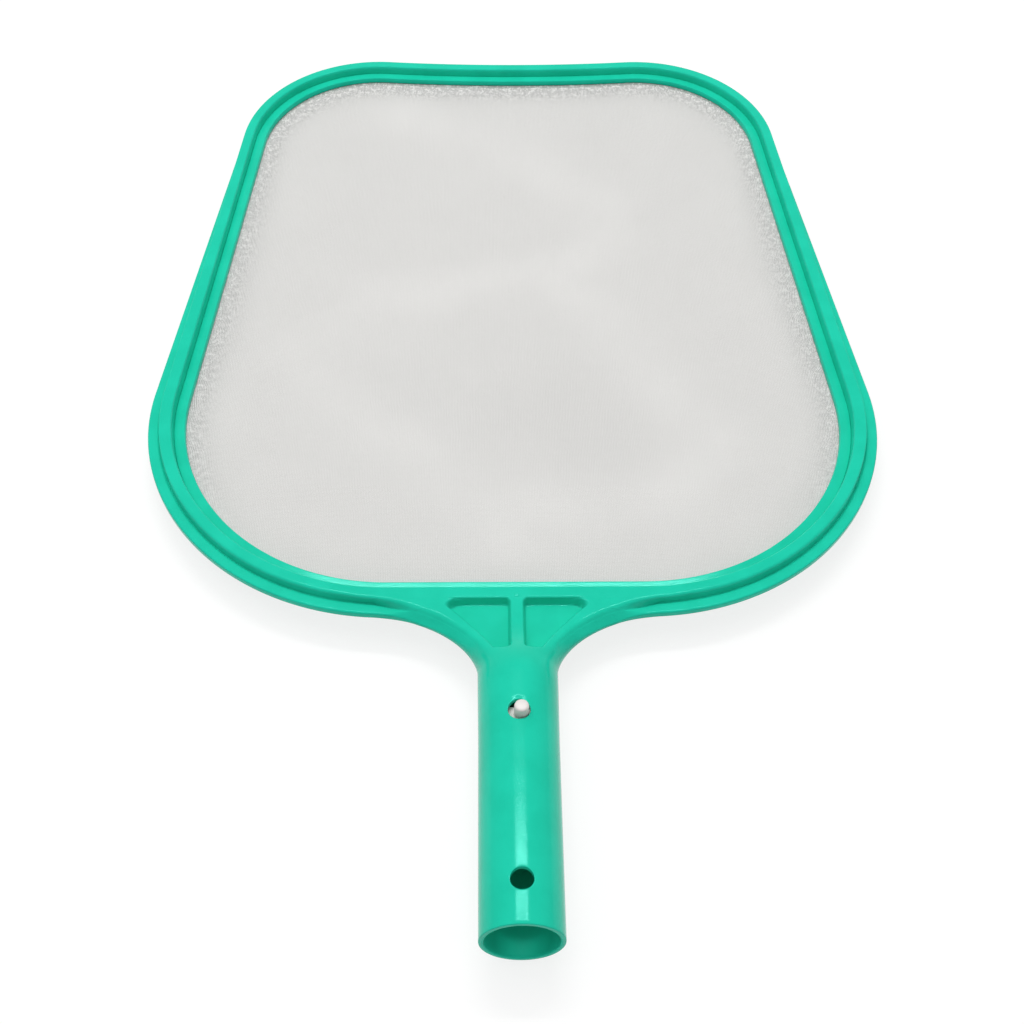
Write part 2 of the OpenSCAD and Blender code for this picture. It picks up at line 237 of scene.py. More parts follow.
@dataclass(frozen=True)
class MouldedPlastic:
    """A satin plastic with the fine grain of its mould."""

    name: str = "sea_green_polypropylene"
    colour: Colour = (0.013, 0.575, 0.39)
    deep: Colour = (0.011, 0.54, 0.362)
    shine: Colour = (0.3, 1.0, 0.95)
    roughness: float = 0.15
    roughness_play: float = 0.08
    gloss: float = 0.22
    cloud_size: float = 14 * MM
    cloud_range: Pair = (0.35, 0.65)
    grain_size: float = 0.9 * MM
    grain_depth: float = 0.017 * MM
    wave_size: float = 6 * MM
    wave_depth: float = 0.03 * MM
    bore: Pair = (13.6 * MM, 95 * MM)
    bore_roughness: float = 0.5
    bore_fade: Pair = (0.98, 0.99)

    def material(self) -> bpy.types.Material:
        """Makes the finish.

        Returns:
            A new material.
        """
        shader = Shader(bpy.data.materials.new(self.name))
        at = shader.place()
        cloud = shader.noise(at, self.cloud_size, 3).ramp(*self.cloud_range)
        grain = shader.noise(at, self.grain_size, 0)
        wave = shader.noise(at, self.wave_size, 1)
        height = grain * (self.grain_depth / self.wave_depth) + wave
        x, y, z = shader.split(at)
        (radius, end), (inwards, back) = self.bore, self.bore_fade
        in_bore = (x * x + z * z).ramp(radius**2, inwards * radius**2) * y.ramp(end, back * end)
        satin = self.roughness + (grain - 0.5) * self.roughness_play
        return shader.surface(
            Base_Color=shader.blend(cloud, self.deep, self.colour),
            Roughness=satin + in_bore * (self.bore_roughness - self.roughness),
            Specular_IOR_Level=self.gloss,
            Specular_Tint=self.shine,
            Normal=shader.bump(height, self.wave_depth),
        )


@dataclass(frozen=True)
class WhitePlastic:
    """The clip's harder, whiter plastic."""

    name: str = "white_acetal"
    colour: Colour = (0.74, 0.70, 0.68)
    warm: Colour = (0.70, 0.665, 0.64)
    roughness: float = 0.36
    roughness_play: float = 0.1
    cloud_size: float = 5 * MM
    cloud_range: Pair = (0.3, 0.7)
    grain_size: float = 0.4 * MM
    grain_depth: float = 0.01 * MM

    def material(self) -> bpy.types.Material:
        """Makes the finish.

        Returns:
            A new material.
        """
        shader = Shader(bpy.data.materials.new(self.name))
        at = shader.place()
        cloud = shader.noise(at, self.cloud_size).ramp(*self.cloud_range)
        grain = shader.noise(at, self.grain_size)
        return shader.surface(
            Base_Color=shader.blend(cloud, self.warm, self.colour),
            Roughness=self.roughness + (grain - 0.5) * self.roughness_play,
            Normal=shader.bump(grain, self.grain_depth),
        )


@dataclass(frozen=True)
class WovenMesh:
    """A plain weave of fine round threads with open holes between them."""

    name: str = "woven_mesh"
    uv_map: str = "weave"
    edge: str = "edge"
    fold: str = "fold"
    colour: Colour = (0.69, 0.682, 0.665)
    dim: Colour = (0.43, 0.426, 0.415)
    pitch: float = 0.64 * MM
    thread: float = 0.44 * MM
    edge_thread: float = 0.36 * MM
    depth: float = 0.10 * MM
    relief: float = 0.6
    tuck: float = 0.45
    cut: Pair = (1.1, 0.9)
    wobble: Pair = (0.1, 0.9)
    wobble_size: float = 2.2 * MM
    base: float = 0.66
    # Painted shading: the threads' crowns lighter than their sides.
    painted_crown_light: float = 0.08
    # Painted light and shade: the folds lighter, the hollow between them darker.
    painted_fold_light: float = 0.15
    # Painted shade: the band along the lip darker.
    painted_lip_shade: float = 0.5
    haze: float = 0.12
    haze_size: float = 28 * MM
    mottle: Pair = (0.1, 3.0)
    mottle_size: float = 0.9 * MM
    mottle_stretch: Triple = (1, 0.7, 1)
    clumps: float = 2.6
    clump_size: float = 2.4 * MM
    # Painted shade: darkens the speckled band by the far lip.
    speckle_and_painted_shade_tone: float = 0.1
    far: Pair = (370 * MM, 440 * MM)
    far_speckle_and_painted_shade: float = 2.1
    roughness: Pair = (0.7, 0.1)
    gloss: float = 0.25

    def material(self) -> bpy.types.Material:
        """Makes the finish.

        Returns:
            A new material.
        """
        shader = Shader(bpy.data.materials.new(self.name))
        uv = shader.node("ShaderNodeUVMap", {"uv_map": self.uv_map})
        edge, fold = [
            shader.node("ShaderNodeAttribute", {"attribute_name": name}, output="Fac")
            for name in (self.edge, self.fold)
        ]
        across, along, _ = shader.split(uv)
        least, more = self.wobble
        wobble = (shader.noise(uv, self.wobble_size, 1) - 0.5) * (edge * more + least)
        u, v = across * (1 / self.pitch) + wobble, along * (1 / self.pitch) - wobble
        half = edge.ramp(0, 1, self.thread, self.edge_thread) * (0.5 / self.pitch)
        threads = [abs(t.fraction() - 0.5) / half for t in (u, v)]
        over = (u.whole() + v.whole()).modulo(2)
        warp, weft = [(1 - (t * t).lowest(1)).root() for t in threads]
        height = (warp * (1 - self.tuck + self.tuck * over)).highest(weft * (1 - self.tuck * over))
        mottle = shader.noise(uv, self.mottle_size, 2, self.mottle_stretch) - 0.5
        haze = shader.noise(uv, self.haze_size, 2) - 0.5
        clumps = shader.noise(uv, self.clump_size, 1) - 0.5
        # By the far lip the speckle grows, and the tone darkens there as painted shade.
        speckle_and_painted_shade = edge * edge * along.ramp(*self.far, 1, self.far_speckle_and_painted_shade)
        # Painted shading: lighter thread crowns and folds, and a darker hollow between the folds.
        tone = self.base + self.painted_crown_light * height.ramp(0, 1) + fold * self.painted_fold_light
        # Painted shade: darker along the lip.
        tone = tone + haze * self.haze - edge * self.painted_lip_shade
        least, more = self.mottle
        tone = tone + mottle * (least + more * speckle_and_painted_shade) + clumps * self.clumps * speckle_and_painted_shade
        tone = tone - speckle_and_painted_shade * self.speckle_and_painted_shade_tone
        rough, smoother = self.roughness
        return shader.surface(
            Base_Color=shader.blend(tone.highest(0).lowest(1), self.dim, self.colour),
            Roughness=rough - height * smoother,
            Specular_IOR_Level=self.gloss,
            Alpha=threads[0].ramp(*self.cut).highest(threads[1].ramp(*self.cut)),
            Normal=shader.bump(height, self.depth, self.relief),
        )


# ---- Modelling by hand ----


def deselect() -> None:
    """Leaves edit mode and deselects every object."""
    if bpy.context.object and bpy.context.object.mode != "OBJECT":
        bpy.ops.object.mode_set(mode="OBJECT")
    bpy.ops.object.select_all(action="DESELECT")


def pick(piece: Piece) -> None:
    """Makes a piece the only selected and the active object.

    Args:
        piece: The piece.
    """
    deselect()
    piece.select_set(True)
    bpy.context.view_layer.objects.active = piece


@contextmanager
def editing(
    piece: Piece, level: str = "VERT", action: str = "DESELECT"
) -> Iterator[bmesh.types.BMesh]:
    """Opens a piece in edit mode.

    Args:
        piece: The piece to shape.
        level: What is selected, VERT, EDGE or FACE.
        action: SELECT to start with everything selected, or DESELECT.

    Yields:
        The mesh that is open, for selecting by place.
    """
    pick(piece)
    bpy.ops.object.mode_set(mode="EDIT")
    bpy.ops.mesh.select_mode(type=level)
    bpy.ops.mesh.select_all(action=action)
    yield bmesh.from_edit_mesh(piece.data)
    bpy.ops.object.mode_set(mode="OBJECT")


def join(piece: Piece, other: Piece) -> None:
    """Makes another object a part of a piece.

    Args:
        piece: The piece that stays.
        other: The object that goes into it.
    """
    pick(piece)
    other.select_set(True)
    bpy.ops.object.join()


def copy_node(node: Piece, name: str) -> Piece:
    """Copies a solid of the frame with a mesh of its own, with merged corners.

    Args:
        node: The solid.
        name: The copy's name.

    Returns:
        The copy, at the origin and on no body yet.
    """
    pick(node)
    bpy.ops.object.duplicate()
    piece = bpy.context.object
    piece.name = piece.data.name = name
    piece.parent = None
    for key in list(piece.keys()):
        del piece[key]
    with editing(piece, action="SELECT"):
        bpy.ops.mesh.customdata_custom_splitnormals_clear()
        bpy.ops.mesh.remove_doubles(threshold=MERGE)
        bpy.ops.mesh.mark_sharp(clear=True)
    return piece


def soften(piece: Piece, width: float, degrees: float = 40) -> None:
    """Rounds the sharp edges of a piece.

    Args:
        piece: The piece.
        width: How wide the roundings are.
        degrees: The least turn of an edge that is rounded.
    """
    pick(piece)
    bpy.ops.object.modifier_add(type="BEVEL")
    bevel = piece.modifiers[-1]
    bevel.width, bevel.segments, bevel.use_clamp_overlap = width, 2, False
    bevel.limit_method, bevel.angle_limit = "ANGLE", math.radians(degrees)
    bpy.ops.object.modifier_apply(modifier=bevel.name)


def smooth(piece: Piece, degrees: float = 40) -> None:
    """Shades a piece smoothly, apart from edges that turn by more than an angle."""
    pick(piece)
    bpy.ops.object.shade_smooth_by_angle(angle=math.radians(degrees))


def dress(piece: Piece, material: Owner) -> None:
    """Gives a piece one material.

    Args:
        piece: The piece.
        material: The material for all of its faces.
    """
    piece.data.materials.clear()
    piece.data.materials.append(material)
    for face in piece.data.polygons:
        face.material_index = 0


# ---- Lofts ----
# The lofts are worked out in millimetres and scaled once, when a mesh gets them.


def mix(a: float, b: float, share: float) -> float:
    """Gives the value that lies a share of the way from a to b."""
    return a + (b - a) * share


def clamp(share: float) -> float:
    """Keeps a share between 0 and 1."""
    return min(max(share, 0.0), 1.0)


def ease(share: float) -> float:
    """Gives a share from 0 to 1 with soft ends."""
    share = clamp(share)
    return share * share * (3 - 2 * share)


def bell(distance: float, half: float) -> float:
    """Gives 1 at no distance, falling softly to nothing past a half width."""
    return math.exp(-((distance / half) ** 2))


def between(a: float, b: float, steps: int) -> list[float]:
    """Parts the span from a to b into equal steps and leaves its ends out."""
    return [mix(a, b, i / steps) for i in range(1, steps)]


def midpoint(edge: bmesh.types.BMEdge) -> Vector:
    """Gives an edge's middle in millimetres."""
    return (edge.verts[0].co + edge.verts[1].co) / 2 / MM


def soft_section(corners: list[Triple], steps: int = 4) -> list[Pair]:
    """Rounds the corners of a closed section.

    Args:
        corners: Across, up, and how far from the corner its rounding starts.
        steps: How many facets each rounding has.

    Returns:
        The section, with the same number of points at each corner.
    """
    points: list[Pair] = []
    most = 0.45
    for i, (x, y, start) in enumerate(corners):
        here, ends = Vector((x, y)), []
        for other in (corners[i - 1], corners[(i + 1) % len(corners)]):
            side = Vector(other[:2]) - here
            ends.append(here + side * min(start / max(side.length, TINY), most))
        for k in range(steps + 1):
            u = k / steps
            at = (1 - u) ** 2 * ends[0] + 2 * u * (1 - u) * here + u * u * ends[1]
            points.append((at.x, at.y))
    return points


def place_corners(piece: Piece, places: list[Vector]) -> None:
    """Moves the corners of a primitive to places in millimetres.

    Args:
        piece: The primitive, whose object sits at the origin.
        places: One place for each of its corners.
    """
    if len(piece.data.vertices) != len(places):
        raise ValueError(f"{piece.name}: {len(piece.data.vertices)} corners, {len(places)} places")
    for corner, at in zip(piece.data.vertices, places):
        corner.co = at * MM
    piece.data.update()


def close_up(piece: Piece) -> None:
    """Merges a closed shell's doubles and turns its faces outwards.

    Args:
        piece: The shell.
    """
    with editing(piece, action="SELECT"):
        bpy.ops.mesh.remove_doubles(threshold=MERGE)
        bpy.ops.mesh.normals_make_consistent(inside=False)


def primitive(name: str, add: Callable[..., object], **settings: object) -> Piece:
    """Adds a primitive at the origin.

    Args:
        name: The new object's name.
        add: The operator that adds it.
        settings: The operator's settings.

    Returns:
        The new object.
    """
    deselect()
    add(**settings)
    piece = bpy.context.object
    piece.name = piece.data.name = name
    return piece


@dataclass(frozen=True)
class Station:
    """A place round the opening: an arc's centre, its radius and the outward turn."""

    x: float
    y: float
    radius: float
    degrees: float

    def at(self, outwards: float, up: float = 0.0) -> Vector:
        """Gives the point that lies outwards of the outline, at a height."""
        turn, reach = math.radians(self.degrees), self.radius + outwards
        return Vector((self.x + reach * math.cos(turn), self.y + reach * math.sin(turn), up))

    def mirrored(self) -> "Station":
        """Gives the station on the other side of the long axis."""
        return Station(-self.x, self.y, self.radius, 180 - self.degrees)


@dataclass(frozen=True)
class Opening:
    """The outline of the net's opening, a trapezoid with round corners."""

    near_y: float = 145.5
    length: float = 307.0
    near_width: float = 288.0
    far_width: float = 222.0
    near_radius: float = 85.0
    far_radius: float = 53.0
    dip: float = 2.5
    near_stops: tuple[float, ...] = (
        0, 1.2, 2.0, 2.6, 3.2, 3.9, 4.8, 6.5, 10, 15, 20, 24, 26, 27, 28, 29, 30.5, 33, 36, 39, 42,
        44, 45, 46, 47, 48, 48.8)
    near_turns: tuple[float, ...] = (0, 0.6, 1.2, 1.8, 2.4, 2.93, 3.0, 3.6, 4.4, 5.5, 7, 9)
    near_steps: int = 42
    far_steps: int = 34
    dip_steps: int = 12

    def stations(self) -> list[Station]:
        """Works out the outline.

        Returns:
            The stations round it, from the near middle by the right.
        """
        lean = math.atan2((self.near_width - self.far_width) / 2, self.length)
        reach = math.cos(lean) * self.near_width / 2 + math.sin(lean) * self.near_y
        near_y = self.near_y + self.near_radius
        far_y = self.near_y + self.length - self.far_radius
        near_x, far_x = [
            (reach - r - y * math.sin(lean)) / math.cos(lean)
            for y, r in ((near_y, self.near_radius), (far_y, self.far_radius))]
        span = (far_x**2 + self.dip**2) / (2 * self.dip)
        bend = math.asin(far_x / span)
        dip_y = far_y + span * math.cos(bend)
        lean, bend = math.degrees(lean), math.degrees(bend)
        right = [Station(x, near_y, self.near_radius, -90) for x in self.near_stops]
        right += [Station(near_x, near_y, self.near_radius, turn - 90) for turn in self.near_turns]
        for x, y, radius, start, end, steps in (
            (near_x, near_y, self.near_radius, right[-1].degrees + 2, lean, self.near_steps),
            (far_x, far_y, self.far_radius, lean, 90 + bend, self.far_steps),
            (0, dip_y, self.far_radius - span, 90 + bend, 90, self.dip_steps),
        ):
            first = 0 if radius > 0 else 1
            right += [
                Station(x, y, radius, mix(start, end, i / steps)) for i in range(first, steps + 1)]
        return right + [s.mirrored() for s in reversed(right[1:-1])]

    def along(self, station: Station) -> float:
        """Gives a station's share of the way from the near to the far line."""
        return (station.at(0).y - self.near_y) / self.length

    def middle(self) -> Vector:
        """Gives the opening's middle."""
        return Vector((0, self.near_y + self.length / 2))


def ring(name: str, stations: list[Station], sections: list[list[Pair]]) -> Piece:
    """Makes a closed band of sections round the opening.

    Args:
        name: The piece's name.
        stations: Where the sections stand.
        sections: One section for each, as points outwards and up.

    Returns:
        The band, which starts as a torus of as many segments.
    """
    piece = primitive(
        name, bpy.ops.mesh.primitive_torus_add,
        major_segments=len(stations), minor_segments=len(sections[0]))
    places = [s.at(*point) for s, section in zip(stations, sections) for point in section]
    place_corners(piece, places)
    close_up(piece)
    return piece


@dataclass(frozen=True)
class Shoulder:
    """The neck's outline, and the raised shoulder inside it that runs into the rib."""

    spread_y: float = 103.0
    flange_y: float = 129.9
    rib_y: float = 134.8
    radius: float = 14.7
    spread: float = 40.0
    curve: float = 1.8
    bevel: float = 4.3
    wing: Pair = (37.0, 49.5)
    wing_foot: float = 2.6
    wing_power: float = 1.5
    crease: float = 0.35
    crease_half: float = 0.5
    edge_round: float = 0.9
    foot_round: float = 0.35
    start_share: float = 0.6
    thin: float = 0.001

    def half_width(self, y: float) -> float:
        """Gives the neck's half width at y."""
        u = clamp((y - self.spread_y) / (self.flange_y - self.spread_y))
        return self.radius + self.spread * (1 - (1 - u**self.curve) ** (1 / self.curve))

    def edge_y(self, x: float) -> float:
        """Gives the y at which the neck's edge reaches x."""
        u = 1 - clamp((x - self.radius) / self.spread)
        return mix(self.spread_y, self.flange_y, (1 - u**self.curve) ** (1 / self.curve))

    def depth(self, x: float, y: float) -> float:
        """Gives the distance in from the neck's edge.

        Args:
            x: Distance from the long axis.
            y: Distance from the mouth.

        Returns:
            The distance, which is 0 outside the edge.
        """
        far_off = 1000.0
        across = max(self.half_width(y) - x, 0) if y < self.flange_y else far_off
        along = max(y - self.edge_y(x), 0) if x > self.radius else far_off
        return across * along / max(math.hypot(across, along), self.thin)

    def knee(self, x: float, levels: Triple, start: float) -> tuple[Vector, Vector, float]:
        """Gives the line of the shoulder's wall at x.

        Args:
            x: Distance from the long axis.
            levels: The heights of the edge, the flange and the plate.
            start: How far from the knee its rounding starts.

        Returns:
            The wall's foot and its knee, as depth and height, and the same
            start, which is shorter where the wall is low.
        """
        edge, flange, plate = levels
        wide, first = self.rib_y - self.flange_y, self.wing[0]
        share = clamp((x - first) / (self.radius + self.spread - first)) ** self.wing_power
        slope = mix(edge, plate, self.wing_foot / self.bevel)
        foot = Vector((mix(self.wing_foot, wide, share), mix(slope, flange, self.winged(x))))
        knee = Vector((max(mix(self.bevel, wide, share), foot.x + self.thin), plate))
        return foot, knee, min(start, self.start_share * (knee - foot).length)

    def winged(self, x: float) -> float:
        """Gives how far the neck's bevel has turned into the rib's wall at x."""
        first, last = self.wing
        return ease((x - first) / (last - first))

    def turn(self, depth: float, foot: Vector, knee: Vector, start: float) -> float:
        """Gives how far round the knee a depth is.

        Args:
            depth: Distance in from the edge.
            foot: The wall's foot, as depth and height.
            knee: Its knee.
            start: How far from the knee its rounding starts.

        Returns:
            The share of the rounding, from 0 to 1.
        """
        first = knee.x - start * (knee - foot).normalized().x
        p, q = knee.x - first, start - (knee.x - first)
        reach = min(max(depth - first, 0), p + start)
        return reach / (2 * p) if abs(q) < TINY else (math.sqrt(p * p + q * reach) - p) / q

    def height(self, x: float, depth: float, levels: Triple, start: float) -> float:
        """Gives the skin's height at a depth in from the edge.

        Args:
            x: Distance from the long axis.
            depth: Distance in from the edge.
            levels: The heights of the edge, the flange and the plate.
            start: How far from the knee its rounding starts.

        Returns:
            The height.
        """
        foot, knee, start = self.knee(x, levels, start)
        side = (knee - foot).normalized()
        if depth >= knee.x - start * side.x:
            return self.bend(knee, start * side.y, self.turn(depth, foot, knee, start))
        share = self.winged(x)
        u = math.sqrt(min(depth / mix(foot.x, self.edge_round, share), 1))
        flange = mix(levels[0], foot.y, mix(u * u, u * (2 - u), share))
        flange -= self.crease * min(2 * share, 1) * bell(depth - foot.x, self.crease_half)
        wall = foot.y + (depth - foot.x) * side.y / max(side.x, TINY)
        fillet = max(self.foot_round - abs(flange - wall), 0)
        return max(flange, wall) + fillet**2 / (4 * self.foot_round)

    @staticmethod
    def bend(knee: Vector, drop: float, turn: float) -> float:
        """Gives the height at a turn round the knee, whose rounding starts drop below it."""
        return knee.y - drop * (1 - turn) ** 2


# ---- Sub-assemblies ----


@dataclass
class SubAssembly:
    """Pieces that are made together.

    Args:
        nodes: The frame's solids by name.
    """

    nodes: dict[str, Piece]

    def settle(
        self, piece: Piece, solid: str, body: Body, slot: Slot, material: Owner
    ) -> None:
        """Dresses a piece and puts it on its body.

        Args:
            piece: The piece, in place.
            solid: The solid that it stands for.
            body: The body that it rides on.
            slot: A material slot of the part, which is not used.
            material: Its finish.
        """
        dress(piece, material)
        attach(piece, body.value)
        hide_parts(solid)
        log.info("%s: %d faces, on %s", piece.name, len(piece.data.polygons), body.value)


@dataclass
class Moulding(SubAssembly):
    """A piece of the sea green moulding or of the ring in it."""

    finish: MouldedPlastic = MouldedPlastic()

    def mould(self, piece: Piece, solid: str, degrees: float) -> None:
        """Shades and dresses a piece, which stands for a solid of the frame."""
        smooth(piece, degrees)
        self.settle(piece, solid, Body.FRAME, Slot.FRAME, self.finish.material())


@dataclass
class Rim(Moulding):
    """The raised rib, the outer flange and the ledge under the net's hem."""

    opening: Opening = Opening()
    shoulder: Shoulder = Shoulder()
    neck_end: float = 54.42
    brow_from: float = 44.5
    brow_corner: int = 6
    brow_step: float = 0.01
    rib_in: float = 4.8
    rib_width: Pair = (5.9, 4.7)
    rib_height: Pair = (4.1, 3.1)
    rib_round: float = 1.3
    inner_round: float = 1.5
    inner_lean: float = 0.5
    outer_round: float = 0.35
    outer_lean: float = 0.6
    lean_fade: float = 12.0
    outer_turn: Pair = (0.06, 0.26)
    foot_groove: float = 0.45
    brim: float = 0.02
    pocket_round: float = 0.9
    pocket_span: Pair = (2.8, 25.0)
    pocket_fade: Pair = (1.2, 1.6)
    foot_level: float = -0.6
    edge_level: float = -0.2
    flange_width: Pair = (4.9, 0.5)
    flange_fade: Pair = (0.2, 0.85)
    flange_top: float = 0.7
    flange_bottom: float = -2.4
    flange_round: float = 0.9
    ledge_top: float = -2.8
    bottom: float = -4.4
    setback: float = 0.5
    corner_rounds: Pair = (0.3, 0.2)
    groove_width: float = 1.9
    groove_roof: float = 2.0
    facets: int = 8
    gate_y: float = 136.1
    gate_size: Pair = (1.05, 0.22)

    def build(self) -> None:
        """Builds and dresses the rim."""
        stations = self.opening.stations()
        piece = ring("rim_moulding", stations, [self.section(s) for s in stations])
        self.add_gate_mark(piece)
        self.mould(piece, "frame_rim", 38)

    def brim_round(self, x: float) -> float:
        """Gives how far the rib's outer top edge is rounded where the neck joins it."""
        (first, last), (rise, fall) = self.pocket_span, self.pocket_fade
        return self.brim + self.pocket_round * ease((x - first) / rise) * ease((last - x) / fall)

    def brow(self, x: float, out: float, height: float, count: int) -> list[Pair]:
        """Gives the rib's outer top edge where the neck's shoulder runs into it.

        Args:
            x: Distance from the long axis.
            out: Where the rib's outer wall is.
            height: The rib's height.
            count: How many points there are.

        Returns:
            The points, from the rib's top to its wall.
        """
        shoulder = self.shoulder
        depth = shoulder.depth(x, shoulder.rib_y)
        levels = (self.edge_level, self.flange_top, height)
        foot, knee, start = shoulder.knee(x, levels, self.rib_round)
        first = shoulder.turn(depth, foot, knee, start)
        side = (knee - foot).normalized()
        points = []
        for k in range(count):
            u = mix(1.0, first, k / (count - 1))
            at = knee.x - start * side.x * (1 - u) ** 2 + start * u * u
            least = self.brow_step * (count - 1 - k)
            points.append((out - max(at - depth, least), shoulder.bend(knee, start * side.y, u)))
        return points

    def section(self, station: Station) -> list[Pair]:
        """Gives the rim's section.

        Args:
            station: Where it stands.

        Returns:
            Its points, outwards and up.
        """
        q = self.opening.along(station)
        width, height = mix(*self.rib_width, q), mix(*self.rib_height, q)
        out = self.rib_in + width
        wall, roof = (width - self.groove_width) / 2, height - self.groove_roof
        low, high = self.flange_fade
        edge = out + mix(*self.flange_width, ease((q - low) / (high - low)))
        top, bottom = self.flange_top, self.flange_bottom
        start = min(self.flange_round, 0.8 * (edge - out))
        x = abs(station.at(out + 2).x)
        by_neck = q < 0.5 and x < self.neck_end
        low, high = self.outer_turn
        past = ease((q - low) / (high - low))
        brow = self.brim_round(x) if by_neck else mix(self.rib_round, self.outer_round, past)
        turned = self.outer_lean * (1 - past) * ease((x - self.neck_end) / self.lean_fade)
        lean = 0 if by_neck else turned
        groove = self.foot_groove * min((edge - out) / 2, 1)
        soft, tight = self.corner_rounds
        flange = [
            (out, top - groove, soft), (out + 2 * groove, top, soft), (edge, top, start),
            (edge, bottom, start), (out, bottom, soft)]
        if by_neck:
            flange = [(out, mix(top, bottom, i / 4), tight) for i in range(5)]
        points = soft_section([
            (self.setback, self.bottom, tight), (self.setback, self.ledge_top, 0.15),
            (self.rib_in, self.ledge_top, 0.05), (self.rib_in, self.foot_level, soft),
            (self.rib_in + self.inner_lean, height, self.inner_round),
            (self.rib_in + 2, height, 0.02), (out - lean, height, brow), *flange,
            (out, self.bottom, 0.25), (out - wall, self.bottom, tight),
            (out - wall, roof, soft), (self.rib_in + wall, roof, soft),
            (self.rib_in + wall, self.bottom, tight)], self.facets)
        if by_neck and x > self.brow_from:
            count = self.facets + 1
            first = self.brow_corner * count
            points[first:first + count] = self.brow(x, out, height, count)
        return points

    def add_gate_mark(self, rim: Piece) -> None:
        """Adds the small round mark that the mould's gate left on the rib.

        Args:
            rim: The rim's piece.
        """
        radius, height = self.gate_size
        mark = primitive(
            "gate_mark", bpy.ops.mesh.primitive_uv_sphere_add, segments=16, ring_count=8)
        sink = Vector((0, self.gate_y, self.rib_height[0]))
        ball = [corner.co for corner in mark.data.vertices]
        place_corners(mark, [
            sink + Vector((at.x * radius, at.y * radius, at.z * height)) for at in ball])
        join(rim, mark)


@dataclass
class NetRing(Moulding):
    """The inner lip, which holds the net's hem down."""

    opening: Opening = Opening()
    width: float = 4.78
    thickness: float = 2.4
    fall: float = 0.64
    bevel: float = 0.4
    bevel_foot: float = 1.3

    def build(self) -> None:
        """Builds and dresses the ring."""
        stations = self.opening.stations()
        section = soft_section([
            (0, -self.thickness, 0.15), (0, -self.bevel_foot, 0.5), (self.bevel, 0, 0.4),
            *[(share * self.width, -share * self.fall, 0.02) for share in (0.2, 0.9)],
            (self.width, -self.fall, 0.3), (self.width, -self.thickness, 0.1)])
        piece = ring("ring_moulding", stations, [section] * len(stations))
        self.mould(piece, "net_ring", 38)


